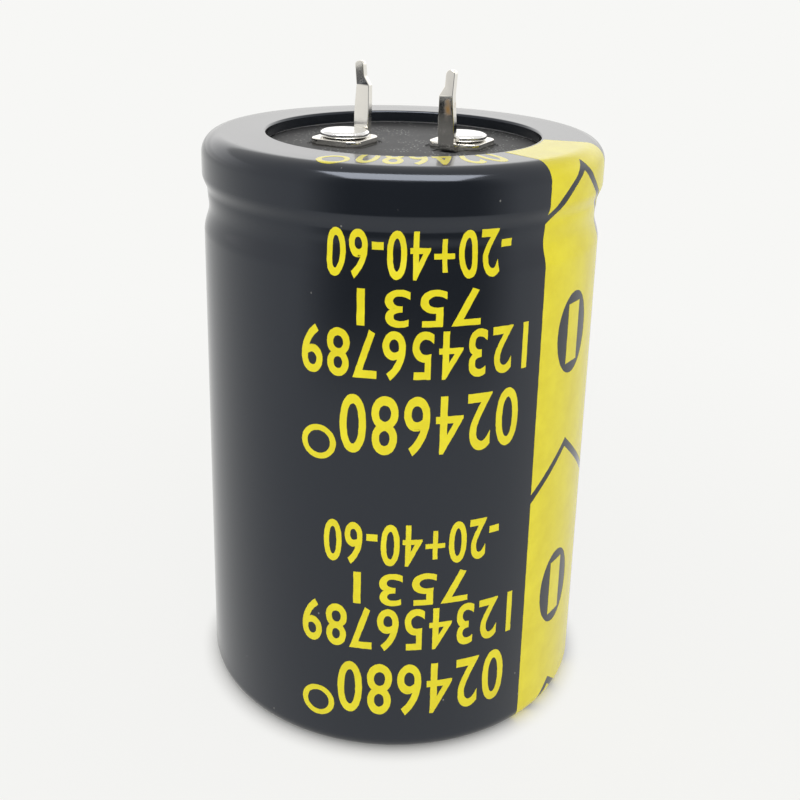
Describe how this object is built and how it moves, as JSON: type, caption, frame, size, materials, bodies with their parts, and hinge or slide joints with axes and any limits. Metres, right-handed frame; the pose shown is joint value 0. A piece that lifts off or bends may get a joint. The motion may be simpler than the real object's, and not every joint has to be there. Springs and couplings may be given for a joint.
{
  "type": "electrolytic capacitor",
  "caption": "Snap-in aluminium electrolytic capacitor with two kinked board pins, a rolled rim over a rubber seal, a black shrink sleeve and a yellow polarity stripe.",
  "frame": {"origin": "centre of the closed end, on the plane the can stands on", "axes": "+Z along the can's axis, from the closed end to the pins; +X from the axis towards the negative pin and the polarity stripe"},
  "size_m": [0.0357, 0.0356, 0.0576],
  "materials": {
    "can_aluminium": "satin drawn",
    "sleeve_film": "gloss shrink film",
    "yellow_ink": "printed on film",
    "seal_rubber": "matt, dusty",
    "phenolic_board": "laminate",
    "tinned_terminal": "tin plated",
    "rivet_aluminium": "bright",
    "foil_and_paper": "wound and wet",
    "closing_tape": "smooth"
  },
  "bodies": {
    "root": {"can": "can_aluminium", "sleeve": "sleeve_film", "polarity_print": "yellow_ink", "rubber_seal": "seal_rubber", "sealing_board": "phenolic_board", "terminal_negative": "tinned_terminal", "terminal_positive": "tinned_terminal", "rivet_negative": "rivet_aluminium", "rivet_positive": "rivet_aluminium", "washer_negative": "can_aluminium", "washer_positive": "can_aluminium", "tab_negative": "can_aluminium", "tab_positive": "can_aluminium", "winding": "foil_and_paper", "winding_tape": "closing_tape"}
  },
  "joints": []
}
